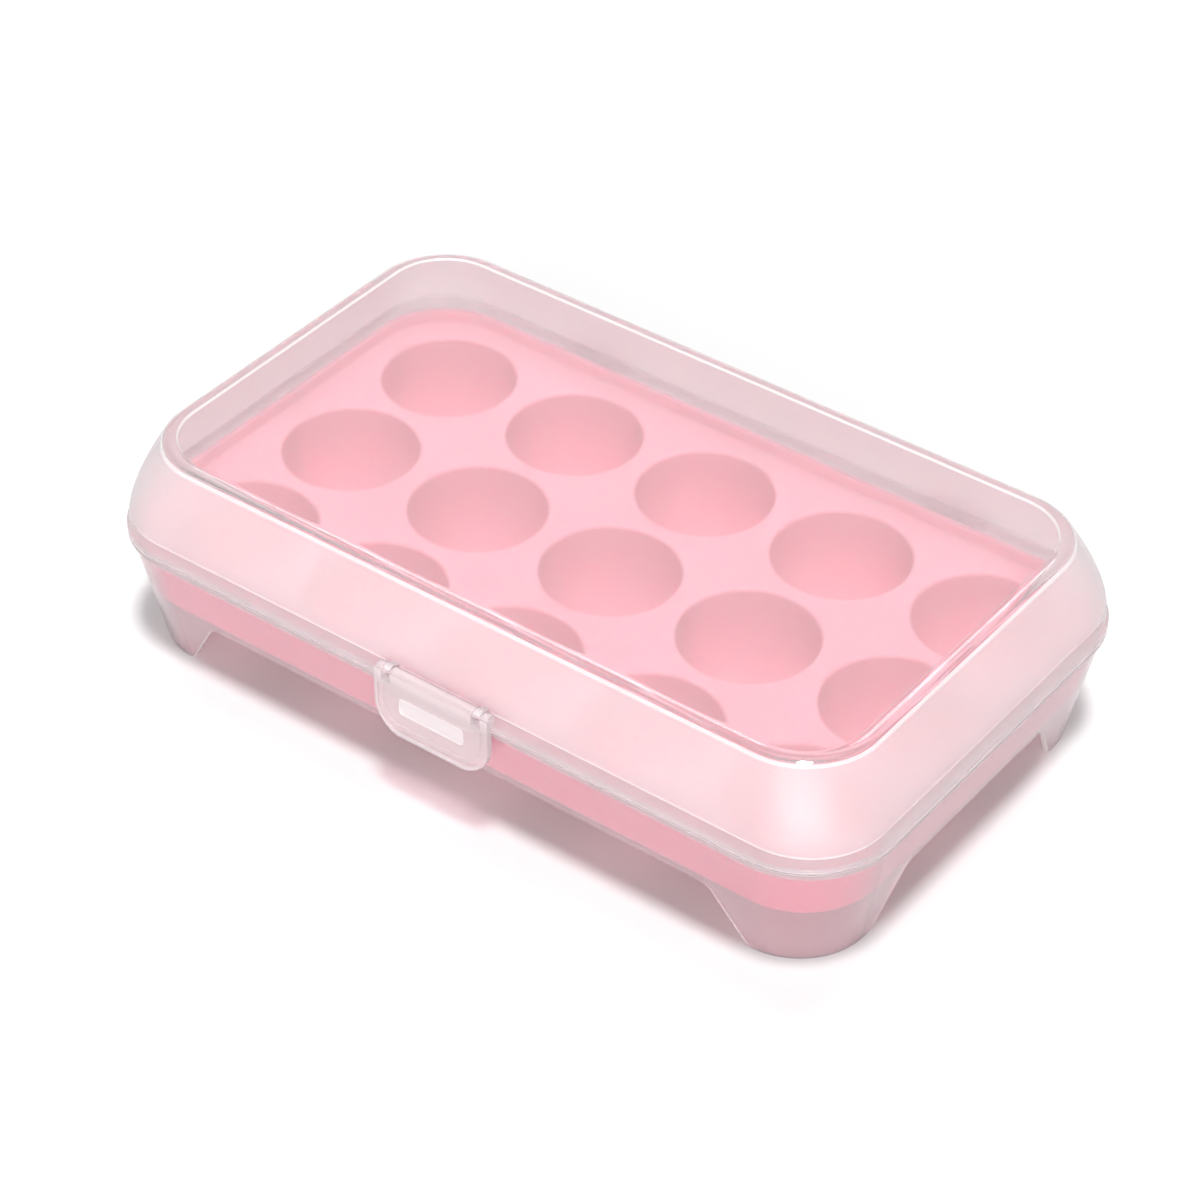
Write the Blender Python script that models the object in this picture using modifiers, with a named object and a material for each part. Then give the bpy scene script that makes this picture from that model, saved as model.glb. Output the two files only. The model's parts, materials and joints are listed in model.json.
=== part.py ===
"""A storage container with fifteen round cups: a milky hinged lid, a footed base, a pink cup tray and a
latch. Metres, +Z up. The long side lies along X, the latch is at the front (-Y) and the hinge behind.

The lid, the base and the tray's rim are lofts of rounded rectangles, one for each point of the wall's
section. The cups are turned. The hinge, the lugs and the latch are outlines given a thickness.
"""

from math import atan2, cos, pi, radians, sin, tan

import bmesh
import bpy
from mathutils import Matrix, Vector

# Cups: a grid of turned bowls that hang from the tray's deck.
COLUMNS = 5
ROWS = 3
CUP_RADIUS = 0.0206
CUP_WEB_X = 0.0048
CUP_WEB_Y = 0.0030
CUP_DEPTH = 0.0280
CUP_LIP = 0.0010
CUP_ABOVE_FLOOR = 0.0045
# The bowl's radius and depth, as shares of the mouth inside the lip and of the cup's depth.
BOWL_SHARES = ((1.0, 0.12), (0.96, 0.34), (0.84, 0.60), (0.62, 0.83), (0.32, 0.97))

# Tray: a deck sunk below its rim, a skirt outside it, and a thin edge that lies in the base's rebate.
DECK_MARGIN_X = 0.0072
DECK_MARGIN_Y = 0.0061
DECK_DROP = 0.0030
TRAY_WALL = 0.0011
TRAY_EDGE = 0.0010
SKIRT_ABOVE_ARCH = 0.0014

# Base: a leaning wall under a flange, with a rebate inside its top and a foot at each corner.
BASE_WALL = 0.0015
BASE_LEAN = 0.0068
CORNER_LEAN_RATIO = 0.6
FLANGE_OVERHANG = 0.0006
FLANGE_THICKNESS = 0.0016
RIM_CORNER = 0.0258
REBATE_WIDTH = 0.0010

# Arches between the feet.
ARCH_HEIGHT = 0.0175
ARCH_SLOPE_RUN = 0.0110
ARCH_TOP_RADIUS = 0.0045
ARCH_TOE_RADIUS = 0.0032
FOOT_LENGTH_X = 0.0199
FOOT_LENGTH_Y = 0.0220

# Lid: a rim with a steep ledge, a wall that curves in, a sloping shoulder, and a panel inside a low bead.
LID_HEIGHT = 0.0271
LID_WALL = 0.0013
LID_FLANGE = 0.0012
LID_RIM_WIDTH = 0.0024
LID_LEDGE_WIDTH = 0.0016
LID_LEDGE_RISE = 0.0030
LID_LEAN = 0.0069
LID_EDGE_RADIUS = 0.0008
LID_SHOULDER_WIDTH = 0.0024
LID_SHOULDER_DROP = 0.0012
LID_BEAD_WIDTH = 0.0014
LID_BEAD_HEIGHT = 0.0005
LID_CORNER = 0.0225
# The wall's curve from the ledge up, as shares of its height and of its lean.
LID_WALL_SHARES = ((0.0, 0.0), (0.26, 0.13), (0.55, 0.43), (1.0, 1.0))

# Hinge: two bars, each between two ears of the base, in open hooks of the lid.
HINGE_SPREAD = 0.1240
HINGE_BAR_LENGTH = 0.0140
HINGE_BAR_RADIUS = 0.0015
HOOK_WALL = 0.0012
EAR_WIDTH = 0.0026
EAR_WALL = 0.0011
EAR_DEPTH = 0.0034
HOOK_MOUTH = radians(90)

# Latch: a plate with a raised border and a ribbed pad, on a pin in two open lugs of the lid.
LATCH_WIDTH = 0.0375
LATCH_HEIGHT = 0.0182
LATCH_PLATE = 0.0014
LATCH_STANDOFF = 0.0010
LATCH_CORNER = 0.0085
LATCH_AXIS_RISE = 0.0029
LATCH_FLARE = 0.0007
LATCH_FLARE_HEIGHT = 0.0040
BORDER_WIDTH = 0.0030
BORDER_HEIGHT = 0.0005
PAD_INSET = 0.0020
PAD_HEIGHT = 0.0003
PAD_CORNER = 0.0020
GROOVE_HEIGHT = 0.0012
GROOVE_DEPTH = 0.0006
GROOVE_INSET = 0.0016
GROOVES = 2
TOOTH_HEIGHT = 0.0014
BARREL_RADIUS = 0.0017
BARREL_SETBACK = 0.0003
PIN_RADIUS = 0.0009
LUG_WIDTH = 0.0022
LUG_WALL = 0.0008
LUG_INSET = 0.0027

# Fits and cuts.
TRAY_CLEARANCE = 0.0004
SEAT_GAP = 0.0003
PIN_CLEARANCE = 0.0003
SIDE_CLEARANCE = 0.0004
OVERRUN = 0.0040
SCREW_MERGE = 0.00001

# Steps of the curves.
CORNER_STEPS = 8
ARC_STEPS = 6
CUP_STEPS = 24
ROUND_STEPS = 24
SHARP_ANGLE = radians(35)

# Colours and roughness of the two plastics.
MILKY = (0.86, 0.80, 0.82)
PINK = (0.87, 0.42, 0.49)

# Heights above the floor: the cups' depth sets the base's, and the lid stands on the base.
DECK_TOP = CUP_ABOVE_FLOOR + TRAY_WALL + CUP_DEPTH
RIM_TOP = DECK_TOP + DECK_DROP
FLANGE_UNDER = RIM_TOP - FLANGE_THICKNESS
EDGE_UNDER = RIM_TOP - TRAY_EDGE
SKIRT_BOTTOM = ARCH_HEIGHT + SKIRT_ABOVE_ARCH
LID_BOTTOM = RIM_TOP + SEAT_GAP
LID_FLANGE_TOP = LID_BOTTOM + LID_FLANGE
LID_TOP = LID_BOTTOM + LID_HEIGHT

# Half lengths along X and Y: the cups set the tray, and the tray sets the rim that the lid shares.
PITCH_X = CUP_RADIUS + CUP_RADIUS + CUP_WEB_X
PITCH_Y = CUP_RADIUS + CUP_RADIUS + CUP_WEB_Y
CUPS_X = (COLUMNS - 1) / 2 * PITCH_X
CUPS_Y = (ROWS - 1) / 2 * PITCH_Y
RIM_OUTSIDE_TRAY = TRAY_WALL + TRAY_CLEARANCE + BASE_WALL + FLANGE_OVERHANG
RIM_X = CUPS_X + CUP_RADIUS + DECK_MARGIN_X + RIM_OUTSIDE_TRAY
RIM_Y = CUPS_Y + CUP_RADIUS + DECK_MARGIN_Y + RIM_OUTSIDE_TRAY

# Insets from the rim at the top of the base's wall, the tray's wall and the rebate.
WALL_OUTSIDE = -FLANGE_OVERHANG
WALL_INSIDE = WALL_OUTSIDE - BASE_WALL
SKIRT_OUTSIDE = WALL_INSIDE - TRAY_CLEARANCE
SKIRT_INSIDE = SKIRT_OUTSIDE - TRAY_WALL
REBATE_SIDE = WALL_INSIDE + REBATE_WIDTH

# The hinge's axis, the latch's axis, and the latch's front.
HOOK_INSIDE = HINGE_BAR_RADIUS + PIN_CLEARANCE
HOOK_OUTSIDE = HOOK_INSIDE + HOOK_WALL
HINGE_Y = RIM_Y + SEAT_GAP + HOOK_OUTSIDE
HINGE_Z = RIM_TOP + SEAT_GAP / 2
PLATE_BACK = -RIM_Y - LATCH_STANDOFF
PLATE_FRONT = PLATE_BACK - LATCH_PLATE - BORDER_HEIGHT
LATCH_Y = PLATE_FRONT + BARREL_SETBACK + BARREL_RADIUS
LATCH_Z = LID_FLANGE_TOP + LATCH_AXIS_RISE
LATCH_BOTTOM = LATCH_Z - LATCH_HEIGHT
LATCH_TOP = LATCH_Z + BARREL_RADIUS / 2
LUG_INSIDE = PIN_RADIUS + PIN_CLEARANCE
LUG_OUTSIDE = LUG_INSIDE + LUG_WALL
LUG_X = LATCH_WIDTH / 2 - LUG_INSET - LUG_WIDTH / 2

# The hinge and the latch reach out unequally, so the whole container stands this far back.
MIDDLE_Y = (HINGE_Y + HOOK_OUTSIDE + PLATE_FRONT - LATCH_FLARE) / 2


def clear_scene():
    for obj in list(bpy.data.objects):
        bpy.data.objects.remove(obj, do_unlink=True)


def new_collection(name, parent):
    collection = bpy.data.collections.new(name)
    parent.children.link(collection)
    return collection


def new_object(name, mesh, collection):
    obj = bpy.data.objects.new(name, mesh)
    collection.objects.link(obj)
    return obj


def plastic(name, color, roughness, alpha):
    material = bpy.data.materials.new(name)
    material.use_nodes = True
    shader = material.node_tree.nodes["Principled BSDF"]
    shader.inputs["Base Color"].default_value = (*color, 1.0)
    shader.inputs["Roughness"].default_value = roughness
    shader.inputs["Metallic"].default_value = 0.0
    shader.inputs["Alpha"].default_value = alpha
    return material


def mesh_from(name, bm):
    bmesh.ops.recalc_face_normals(bm, faces=bm.faces)
    mesh = bpy.data.meshes.new(name)
    bm.to_mesh(mesh)
    bm.free()
    return mesh


def arc(centre, radius, start, end, steps=ARC_STEPS):
    """Points of an arc from the angle start to the angle end, with both ends."""
    angles = [start + (end - start) * step / steps for step in range(steps + 1)]
    return [(centre[0] + radius * cos(a), centre[1] + radius * sin(a)) for a in angles]


def filleted(corners):
    """The outline through (u, v, radius) corners, with an arc for each corner that has a radius."""
    points = []
    for index, (u, v, radius) in enumerate(corners):
        corner = Vector((u, v))
        back = Vector(corners[index - 1][:2]) - corner
        ahead = Vector(corners[(index + 1) % len(corners)][:2]) - corner
        half_angle = back.angle(ahead) / 2
        reach = min(radius / tan(half_angle), back.length / 2, ahead.length / 2)
        if not reach:
            points.append(corner)
            continue
        back.normalize()
        ahead.normalize()
        centre = corner + (back + ahead).normalized() * reach / cos(half_angle)
        start = corner + back * reach - centre
        end = corner + ahead * reach - centre
        for step in range(ARC_STEPS + 1):
            spoke = start.slerp(end, step / ARC_STEPS).normalized()
            points.append(centre + spoke * start.length)
    return points


def rounded_rectangle(half_x, half_y, radius):
    points = []
    for quarter, (side_x, side_y) in enumerate(((1, 1), (-1, 1), (-1, -1), (1, -1))):
        centre = (side_x * (half_x - radius), side_y * (half_y - radius))
        points += arc(centre, radius, quarter * pi / 2, (quarter + 1) * pi / 2, CORNER_STEPS)
    return points


def section(outset, z, corner=None):
    """One ring of a loft: the rim's rectangle moved out by outset, at the height z."""
    radius = RIM_CORNER + outset if corner is None else corner
    return rounded_rectangle(RIM_X + outset, RIM_Y + outset, radius), z


def loft(name, sections, is_ring):
    """A skin over the sections. A ring joins the last to the first, and anything else gets two lids."""
    bm = bmesh.new()
    loops = [[bm.verts.new((x, y, z)) for x, y in points] for points, z in sections]
    followers = loops[1:] + loops[:1] if is_ring else loops[1:]
    for here, there in zip(loops, followers):
        for i in range(len(here)):
            bm.faces.new((here[i - 1], here[i], there[i], there[i - 1]))
    if not is_ring:
        bm.faces.new(loops[0])
        bm.faces.new(loops[-1])
    return mesh_from(name, bm)


def prism(name, outline, axis, start, end):
    """An outline in YZ, XZ or XY, carried along the axis X, Y or Z from start to end."""

    def place(u, v, w):
        return {"X": (w, u, v), "Y": (u, w, v), "Z": (u, v, w)}[axis]

    bm = bmesh.new()
    face = bm.faces.new([bm.verts.new(place(u, v, start)) for u, v in outline])
    made = bmesh.ops.extrude_face_region(bm, geom=[face])["geom"]
    far = [item for item in made if isinstance(item, bmesh.types.BMVert)]
    bmesh.ops.translate(bm, verts=far, vec=place(0, 0, end - start))
    return mesh_from(name, bm)


def rod(name, y, z, radius, start, end):
    """A cylinder along X."""
    bm = bmesh.new()
    bmesh.ops.create_cone(
        bm, cap_ends=True, segments=ROUND_STEPS, radius1=radius, radius2=radius, depth=end - start
    )
    place = Matrix.Translation(((start + end) / 2, y, z)) @ Matrix.Rotation(pi / 2, 4, "Y")
    bmesh.ops.transform(bm, matrix=place, verts=bm.verts)
    return mesh_from(name, bm)


def box(name, low, high):
    bm = bmesh.new()
    bmesh.ops.create_cube(bm, size=1)
    size = [b - a for a, b in zip(low, high)]
    middle = [(a + b) / 2 for a, b in zip(low, high)]
    bmesh.ops.scale(bm, vec=size, verts=bm.verts)
    bmesh.ops.translate(bm, vec=middle, verts=bm.verts)
    return mesh_from(name, bm)


def turned(name, profile):
    """The wire of a turned shape: (radius, z) points from top to bottom, on the axis at both ends."""
    mesh = bpy.data.meshes.new(name)
    points = [(radius, 0, z) for radius, z in profile]
    mesh.from_pydata(points, [(i, i + 1) for i in range(len(points) - 1)], [])
    return mesh


def turn(obj, steps):
    screw = obj.modifiers.new("Turn", "SCREW")
    screw.axis = "Z"
    screw.steps = steps
    screw.render_steps = steps
    screw.use_merge_vertices = True
    screw.merge_threshold = SCREW_MERGE


def helper(name, mesh, collection):
    """A shape that only joins or cuts another, so no render shows it."""
    obj = new_object(name, mesh, collection)
    obj.hide_render = True
    obj.display_type = "WIRE"
    return obj


def combine(obj, operation, other):
    """A Boolean with one helper, or with a collection of helpers."""
    boolean = obj.modifiers.new(f"{operation} {other.name}", "BOOLEAN")
    boolean.operation = operation
    boolean.solver = "EXACT"
    if isinstance(other, bpy.types.Collection):
        boolean.operand_type = "COLLECTION"
        boolean.collection = other
    else:
        boolean.object = other


def leaning(outset, z):
    """A ring of the leaning wall, or of a piece beside it, with corners that tighten less than it leans."""
    lean = (RIM_TOP - z) * BASE_LEAN / RIM_TOP
    return section(outset - lean, z, RIM_CORNER + outset - lean * CORNER_LEAN_RATIO)


def bowl_profile(top, wall):
    """Half of a bowl's section from its flat top down to its floor, moved out by wall."""
    mouth = CUP_RADIUS - CUP_LIP
    below = DECK_TOP - wall
    points = [(mouth * radius + wall, below - CUP_DEPTH * depth) for radius, depth in BOWL_SHARES]
    return [(0, top), (points[0][0], top), *points, (0, below - CUP_DEPTH)]


def make_tray(parts, helpers):
    """Deck, rim and skirt are one loft. Fifteen bowls are joined to it, then hollowed with their lips."""
    deck_under = DECK_TOP - TRAY_WALL
    edge = REBATE_SIDE - SEAT_GAP
    sections = [
        leaning(SKIRT_INSIDE, DECK_TOP),
        leaning(SKIRT_INSIDE, RIM_TOP),
        section(edge, RIM_TOP),
        section(edge, EDGE_UNDER),
        leaning(SKIRT_OUTSIDE, EDGE_UNDER),
        leaning(SKIRT_OUTSIDE, SKIRT_BOTTOM),
        leaning(SKIRT_INSIDE, SKIRT_BOTTOM),
        leaning(SKIRT_INSIDE, deck_under),
    ]
    tray = new_object("tray", loft("tray", sections, is_ring=False), parts)
    bowls = new_collection("Bowls", helpers)
    hollows = new_collection("Hollows", helpers)
    above = DECK_TOP + OVERRUN
    hollow_profile = bowl_profile(above, 0)
    mouth = hollow_profile[1][0]
    hollow_profile[1:2] = [(CUP_RADIUS, above), (CUP_RADIUS, DECK_TOP), (mouth, DECK_TOP - CUP_LIP)]
    bowl = turned("bowl", bowl_profile(DECK_TOP - TRAY_WALL / 2, TRAY_WALL))
    hollow = turned("hollow", hollow_profile)
    for number in range(COLUMNS * ROWS):
        row, column = divmod(number, COLUMNS)
        place = (column * PITCH_X - CUPS_X, row * PITCH_Y - CUPS_Y, 0)
        for mesh, collection in ((bowl, bowls), (hollow, hollows)):
            obj = helper(f"{mesh.name}_{number + 1}", mesh, collection)
            obj.location = place
            turn(obj, CUP_STEPS)
    combine(tray, "UNION", bowls)
    combine(tray, "DIFFERENCE", hollows)
    return tray


def arch_outline(half_outside, foot_length):
    """The opening between two feet: level on top, down a curved slope on each side, open below."""
    slope = atan2(ARCH_SLOPE_RUN, ARCH_HEIGHT)
    bend = tan((pi / 2 - slope) / 2)
    toe = half_outside - foot_length
    top = toe - ARCH_TOE_RADIUS * bend - ARCH_SLOPE_RUN - ARCH_TOP_RADIUS * bend
    right = [(toe, -OVERRUN)]
    right += arc((toe, ARCH_TOE_RADIUS), ARCH_TOE_RADIUS, -pi / 2, slope - pi)
    right += arc((top, ARCH_HEIGHT - ARCH_TOP_RADIUS), ARCH_TOP_RADIUS, slope, pi / 2)
    return right + [(-u, v) for u, v in reversed(right)]


def make_base(parts, helpers):
    """The wall is a ring with a flange and a rebate. Arches are cut through it, and the ears join it."""
    rebate = EDGE_UNDER - SEAT_GAP
    sections = [
        section(0, RIM_TOP),
        section(0, FLANGE_UNDER),
        leaning(WALL_OUTSIDE, FLANGE_UNDER),
        leaning(WALL_OUTSIDE, 0),
        leaning(WALL_INSIDE, 0),
        leaning(WALL_INSIDE, rebate),
        section(REBATE_SIDE, rebate),
        section(REBATE_SIDE, RIM_TOP),
    ]
    base = new_object("base", loft("base", sections, is_ring=True), parts)
    reach_x = RIM_X + OVERRUN
    reach_y = RIM_Y + OVERRUN
    long_arch = arch_outline(RIM_X + WALL_OUTSIDE - BASE_LEAN, FOOT_LENGTH_X)
    short_arch = arch_outline(RIM_Y + WALL_OUTSIDE - BASE_LEAN, FOOT_LENGTH_Y)
    long_cut = prism("long_arches", long_arch, "Y", -reach_y, reach_y)
    short_cut = prism("short_arches", short_arch, "X", -reach_x, reach_x)
    for mesh in (long_cut, short_cut):
        combine(base, "DIFFERENCE", helper(mesh.name, mesh, helpers))
    for side, name in ((-1, "left"), (1, "right")):
        for mesh in hinge_ears(side * HINGE_SPREAD / 2, name):
            combine(base, "UNION", helper(mesh.name, mesh, helpers))
    return base


def hinge_ears(middle, name):
    """Two ears from the flange, each with a round end on the hinge's axis, and the bar between them."""
    radius = HINGE_BAR_RADIUS + EAR_WALL
    top = RIM_TOP - SEAT_GAP / 2
    in_wall = (RIM_Y + WALL_INSIDE + BASE_WALL / 2, RIM_TOP - EAR_DEPTH)
    in_flange = (RIM_Y + REBATE_SIDE / 2, top)
    end = pi + (HINGE_Z - top) / radius
    outline = [in_wall, *arc((HINGE_Y, HINGE_Z), radius, -pi / 2, end, ROUND_STEPS), in_flange]
    half = HINGE_BAR_LENGTH / 2
    low = middle - half
    high = middle + half
    bar_low = low - EAR_WIDTH / 2
    bar_high = high + EAR_WIDTH / 2
    return (
        prism(f"{name}_ear_low", outline, "X", low - EAR_WIDTH, low),
        prism(f"{name}_ear_high", outline, "X", high, high + EAR_WIDTH),
        rod(f"{name}_bar", HINGE_Y, HINGE_Z, HINGE_BAR_RADIUS, bar_low, bar_high),
    )


def open_ring(centre, inside, outside, mouth_angle):
    """The outline of a snap hook: a ring with a mouth that faces the given angle."""
    start = mouth_angle + HOOK_MOUTH / 2
    end = mouth_angle + pi + pi - HOOK_MOUTH / 2
    return arc(centre, outside, start, end, ROUND_STEPS) + arc(centre, inside, end, start, ROUND_STEPS)


def lid_wall(inset, corner):
    """The rings of the lid's curved wall, from the ledge up to the shoulder's edge."""
    low = LID_FLANGE_TOP + LID_LEDGE_RISE
    high = LID_TOP - LID_SHOULDER_DROP - LID_EDGE_RADIUS
    return [
        section(-LID_LEDGE_WIDTH - inset - LID_LEAN * lean, low + (high - low) * height, corner)
        for height, lean in LID_WALL_SHARES
    ]


def lid_sections():
    """From the middle of the panel over the outside down to the flange, and back up the inside."""
    edge = -LID_LEDGE_WIDTH - LID_LEAN - LID_EDGE_RADIUS
    bead = edge - LID_SHOULDER_WIDTH
    bead_inside = bead - LID_BEAD_WIDTH
    panel = LID_TOP - LID_BEAD_HEIGHT
    corner = LID_CORNER - LID_EDGE_RADIUS
    bead_corner = corner - LID_SHOULDER_WIDTH
    panel_corner = bead_corner - LID_BEAD_WIDTH
    inner_corner = LID_CORNER - LID_WALL
    chamfer = LID_FLANGE / 2
    return [
        section(bead_inside - LID_BEAD_HEIGHT, panel, panel_corner - LID_BEAD_HEIGHT),
        section(bead_inside, LID_TOP, panel_corner),
        section(bead, LID_TOP, bead_corner),
        section(edge, LID_TOP - LID_SHOULDER_DROP, corner),
        *reversed(lid_wall(0, LID_CORNER)),
        section(-chamfer, LID_FLANGE_TOP),
        section(0, LID_FLANGE_TOP - chamfer),
        section(0, LID_BOTTOM),
        section(-LID_RIM_WIDTH, LID_BOTTOM, inner_corner),
        *lid_wall(LID_WALL, inner_corner),
        section(edge - LID_WALL, panel - LID_WALL, inner_corner - LID_EDGE_RADIUS),
    ]


def make_lid(parts, helpers):
    """A shell with two hinge hooks behind and two latch lugs in front."""
    lid = new_object("lid", loft("lid", lid_sections(), is_ring=False), parts)
    for side, name in ((-1, "left"), (1, "right")):
        for mesh in (*hinge_hook(side * HINGE_SPREAD / 2, name), *latch_lug(side * LUG_X, name)):
            combine(lid, "UNION", helper(mesh.name, mesh, helpers))
    return lid


def hinge_hook(middle, name):
    """An open ring round the bar, and the arm that carries it from the flange."""
    low = middle - HINGE_BAR_LENGTH / 2 + SIDE_CLEARANCE
    high = middle + HINGE_BAR_LENGTH / 2 - SIDE_CLEARANCE
    ring = open_ring((HINGE_Y, HINGE_Z), HOOK_INSIDE, HOOK_OUTSIDE, -pi / 2)
    arm_low = (low, RIM_Y - LID_LEDGE_WIDTH, LID_BOTTOM + LID_FLANGE / 4)
    arm_high = (high, HINGE_Y - HOOK_INSIDE, HINGE_Z + HOOK_INSIDE)
    return prism(f"{name}_hook", ring, "X", low, high), box(f"{name}_arm", arm_low, arm_high)


def latch_lug(middle, name):
    """An open ring round the latch's pin, and the root that carries it from the ledge and the wall."""
    low = middle - LUG_WIDTH / 2
    high = middle + LUG_WIDTH / 2
    ring = open_ring((LATCH_Y, LATCH_Z), LUG_INSIDE, LUG_OUTSIDE, pi)
    root_low = (low, LATCH_Y + LUG_INSIDE, LID_BOTTOM + LID_FLANGE / 2)
    root_high = (high, LID_LEDGE_WIDTH + LID_WALL / 3 - RIM_Y, LATCH_Z + LUG_INSIDE)
    return prism(f"{name}_lug", ring, "X", low, high), box(f"{name}_root", root_low, root_high)


def latch_outline(inset):
    """The latch from the front: square at the pivot, with large round corners below."""
    half = LATCH_WIDTH / 2 - inset
    bottom = LATCH_BOTTOM + inset
    corner = max(LATCH_CORNER - inset, PAD_CORNER)
    top = LATCH_TOP - inset
    return filleted([(-half, bottom, corner), (half, bottom, corner), (half, top, 0), (-half, top, 0)])


def latch_side():
    """The latch's section: a flat plate whose lower end bends out to a lip for the fingertip."""
    bend = LATCH_BOTTOM + LATCH_FLARE_HEIGHT
    return filleted(
        [
            (PLATE_FRONT, LATCH_TOP, 0),
            (PLATE_FRONT, bend, LATCH_FLARE_HEIGHT),
            (PLATE_FRONT - LATCH_FLARE, LATCH_BOTTOM, 0),
            (PLATE_BACK - LATCH_FLARE, LATCH_BOTTOM, 0),
            (PLATE_BACK, bend, LATCH_FLARE_HEIGHT),
            (PLATE_BACK, LATCH_TOP, 0),
        ]
    )


def make_latch(parts, helpers):
    """The side section and the front outline give the plate. Its border, pad, barrel and tooth follow."""
    half = LATCH_WIDTH / 2
    latch = new_object("latch", prism("latch", latch_side(), "X", -half - OVERRUN, half + OVERRUN), parts)
    pocket_floor = PLATE_FRONT + BORDER_HEIGHT
    pad_front = pocket_floor - PAD_HEIGHT
    pocket = latch_outline(BORDER_WIDTH)
    pad = latch_outline(BORDER_WIDTH + PAD_INSET)
    barrel_half = half - BARREL_SETBACK
    reach = half - LUG_INSET / 2
    steps = [
        ("INTERSECT", prism("front", latch_outline(0), "Y", PLATE_FRONT - OVERRUN, PLATE_BACK + OVERRUN)),
        ("DIFFERENCE", prism("pocket", pocket, "Y", PLATE_FRONT - OVERRUN, pocket_floor)),
        ("UNION", prism("pad", pad, "Y", pad_front, PLATE_BACK - LATCH_PLATE / 2)),
        *[("DIFFERENCE", mesh) for mesh in grooves(pad, pad_front)],
        ("UNION", tooth()),
        ("UNION", rod("barrel", LATCH_Y, LATCH_Z, BARREL_RADIUS, -barrel_half, barrel_half)),
        ("DIFFERENCE", notch("left_notch", -LUG_X)),
        ("DIFFERENCE", notch("right_notch", LUG_X)),
        ("UNION", rod("pin", LATCH_Y, LATCH_Z, PIN_RADIUS, -reach, reach)),
    ]
    for operation, mesh in steps:
        combine(latch, operation, helper(mesh.name, mesh, helpers))
    return latch


def grooves(pad, pad_front):
    """Level grooves across the pad, which leave ribs between them."""
    low = min(v for _, v in pad)
    high = max(v for _, v in pad)
    half = max(u for u, _ in pad) - GROOVE_INSET
    for number in range(1, GROOVES + 1):
        middle = low + (high - low) * number / (GROOVES + 1)
        corner_low = (-half, pad_front - OVERRUN, middle - GROOVE_HEIGHT / 2)
        corner_high = (half, pad_front + GROOVE_DEPTH, middle + GROOVE_HEIGHT / 2)
        yield box(f"groove_{number}", corner_low, corner_high)


def tooth():
    """A wedge behind the plate, just below the base's flange and clear of it."""
    tip = -RIM_Y - SEAT_GAP
    top = FLANGE_UNDER - SEAT_GAP
    root = PLATE_BACK - LATCH_PLATE / 2
    outline = [(root, top), (tip, top), (tip, top - TOOTH_HEIGHT / 2), (root, top - TOOTH_HEIGHT)]
    reach = LUG_X - LUG_WIDTH
    return prism("tooth", outline, "X", -reach, reach)


def notch(name, middle):
    """Room for one of the lid's lugs, through the plate and the barrel."""
    half = LUG_WIDTH / 2 + SIDE_CLEARANCE
    low = (middle - half, PLATE_FRONT - OVERRUN, LATCH_Z - LUG_OUTSIDE - SEAT_GAP)
    high = (middle + half, PLATE_BACK + BARREL_RADIUS + OVERRUN, LATCH_TOP + OVERRUN)
    return box(name, low, high)


def new_empty(name, collection, place, parent=None):
    """An empty at a place in the world, under its parent."""
    empty = new_object(name, None, collection)
    empty.parent = parent
    empty.location = Vector(place) - (Vector(parent["place"]) if parent else Vector())
    empty["place"] = place
    return empty


def hang(obj, axis):
    """Hangs a piece on the empty on its joint's axis, and leaves the piece where it is."""
    obj.parent = axis
    obj.location = -Vector(axis["place"])


def main():
    clear_scene()
    scene = bpy.context.scene.collection
    parts = new_collection("Storage container", scene)
    helpers = new_collection("Helper shapes", scene)
    base = make_base(parts, helpers)
    tray = make_tray(parts, helpers)
    lid = make_lid(parts, helpers)
    latch = make_latch(parts, helpers)

    container = new_empty("container", parts, (0, 0, 0))
    lid_axis = new_empty("lid_hinge", parts, (0, HINGE_Y, HINGE_Z), container)
    latch_axis = new_empty("latch_hinge", parts, (0, LATCH_Y, LATCH_Z), lid_axis)
    hang(base, container)
    hang(tray, container)
    hang(lid, lid_axis)
    hang(latch, latch_axis)
    for obj in helpers.all_objects:
        obj.parent = container
    container.location = (0, -MIDDLE_Y, 0)

    base.data.materials.append(plastic("Base plastic", MILKY, 0.35, 0.45))
    tray.data.materials.append(plastic("Tray plastic", PINK, 0.35, 1.0))
    lid.data.materials.append(plastic("Lid plastic", MILKY, 0.20, 0.35))
    latch.data.materials.append(plastic("Latch plastic", MILKY, 0.30, 0.60))
    for obj in (base, tray, lid, latch):
        obj.data.shade_smooth()
        obj.data.set_sharp_from_angle(angle=SHARP_ANGLE)


main()
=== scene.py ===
# %% [markdown]
# This lesson dresses a plastic storage container: a clear hinged lid, a frosted base on four feet, a pink
# tray with fifteen round cups, and a small latch. All four are thin injection mouldings, so the whole look
# depends on wall thickness, on small rounded edges that catch the light, and on how cloudy each wall is.
# We work in metres. The construction comes in first, as a frame that never moves.

# %% Load the frame
import json
from math import atan2, cos, pi, radians, sin, tan

import bmesh
import bpy
from mathutils import Matrix, Vector


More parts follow.
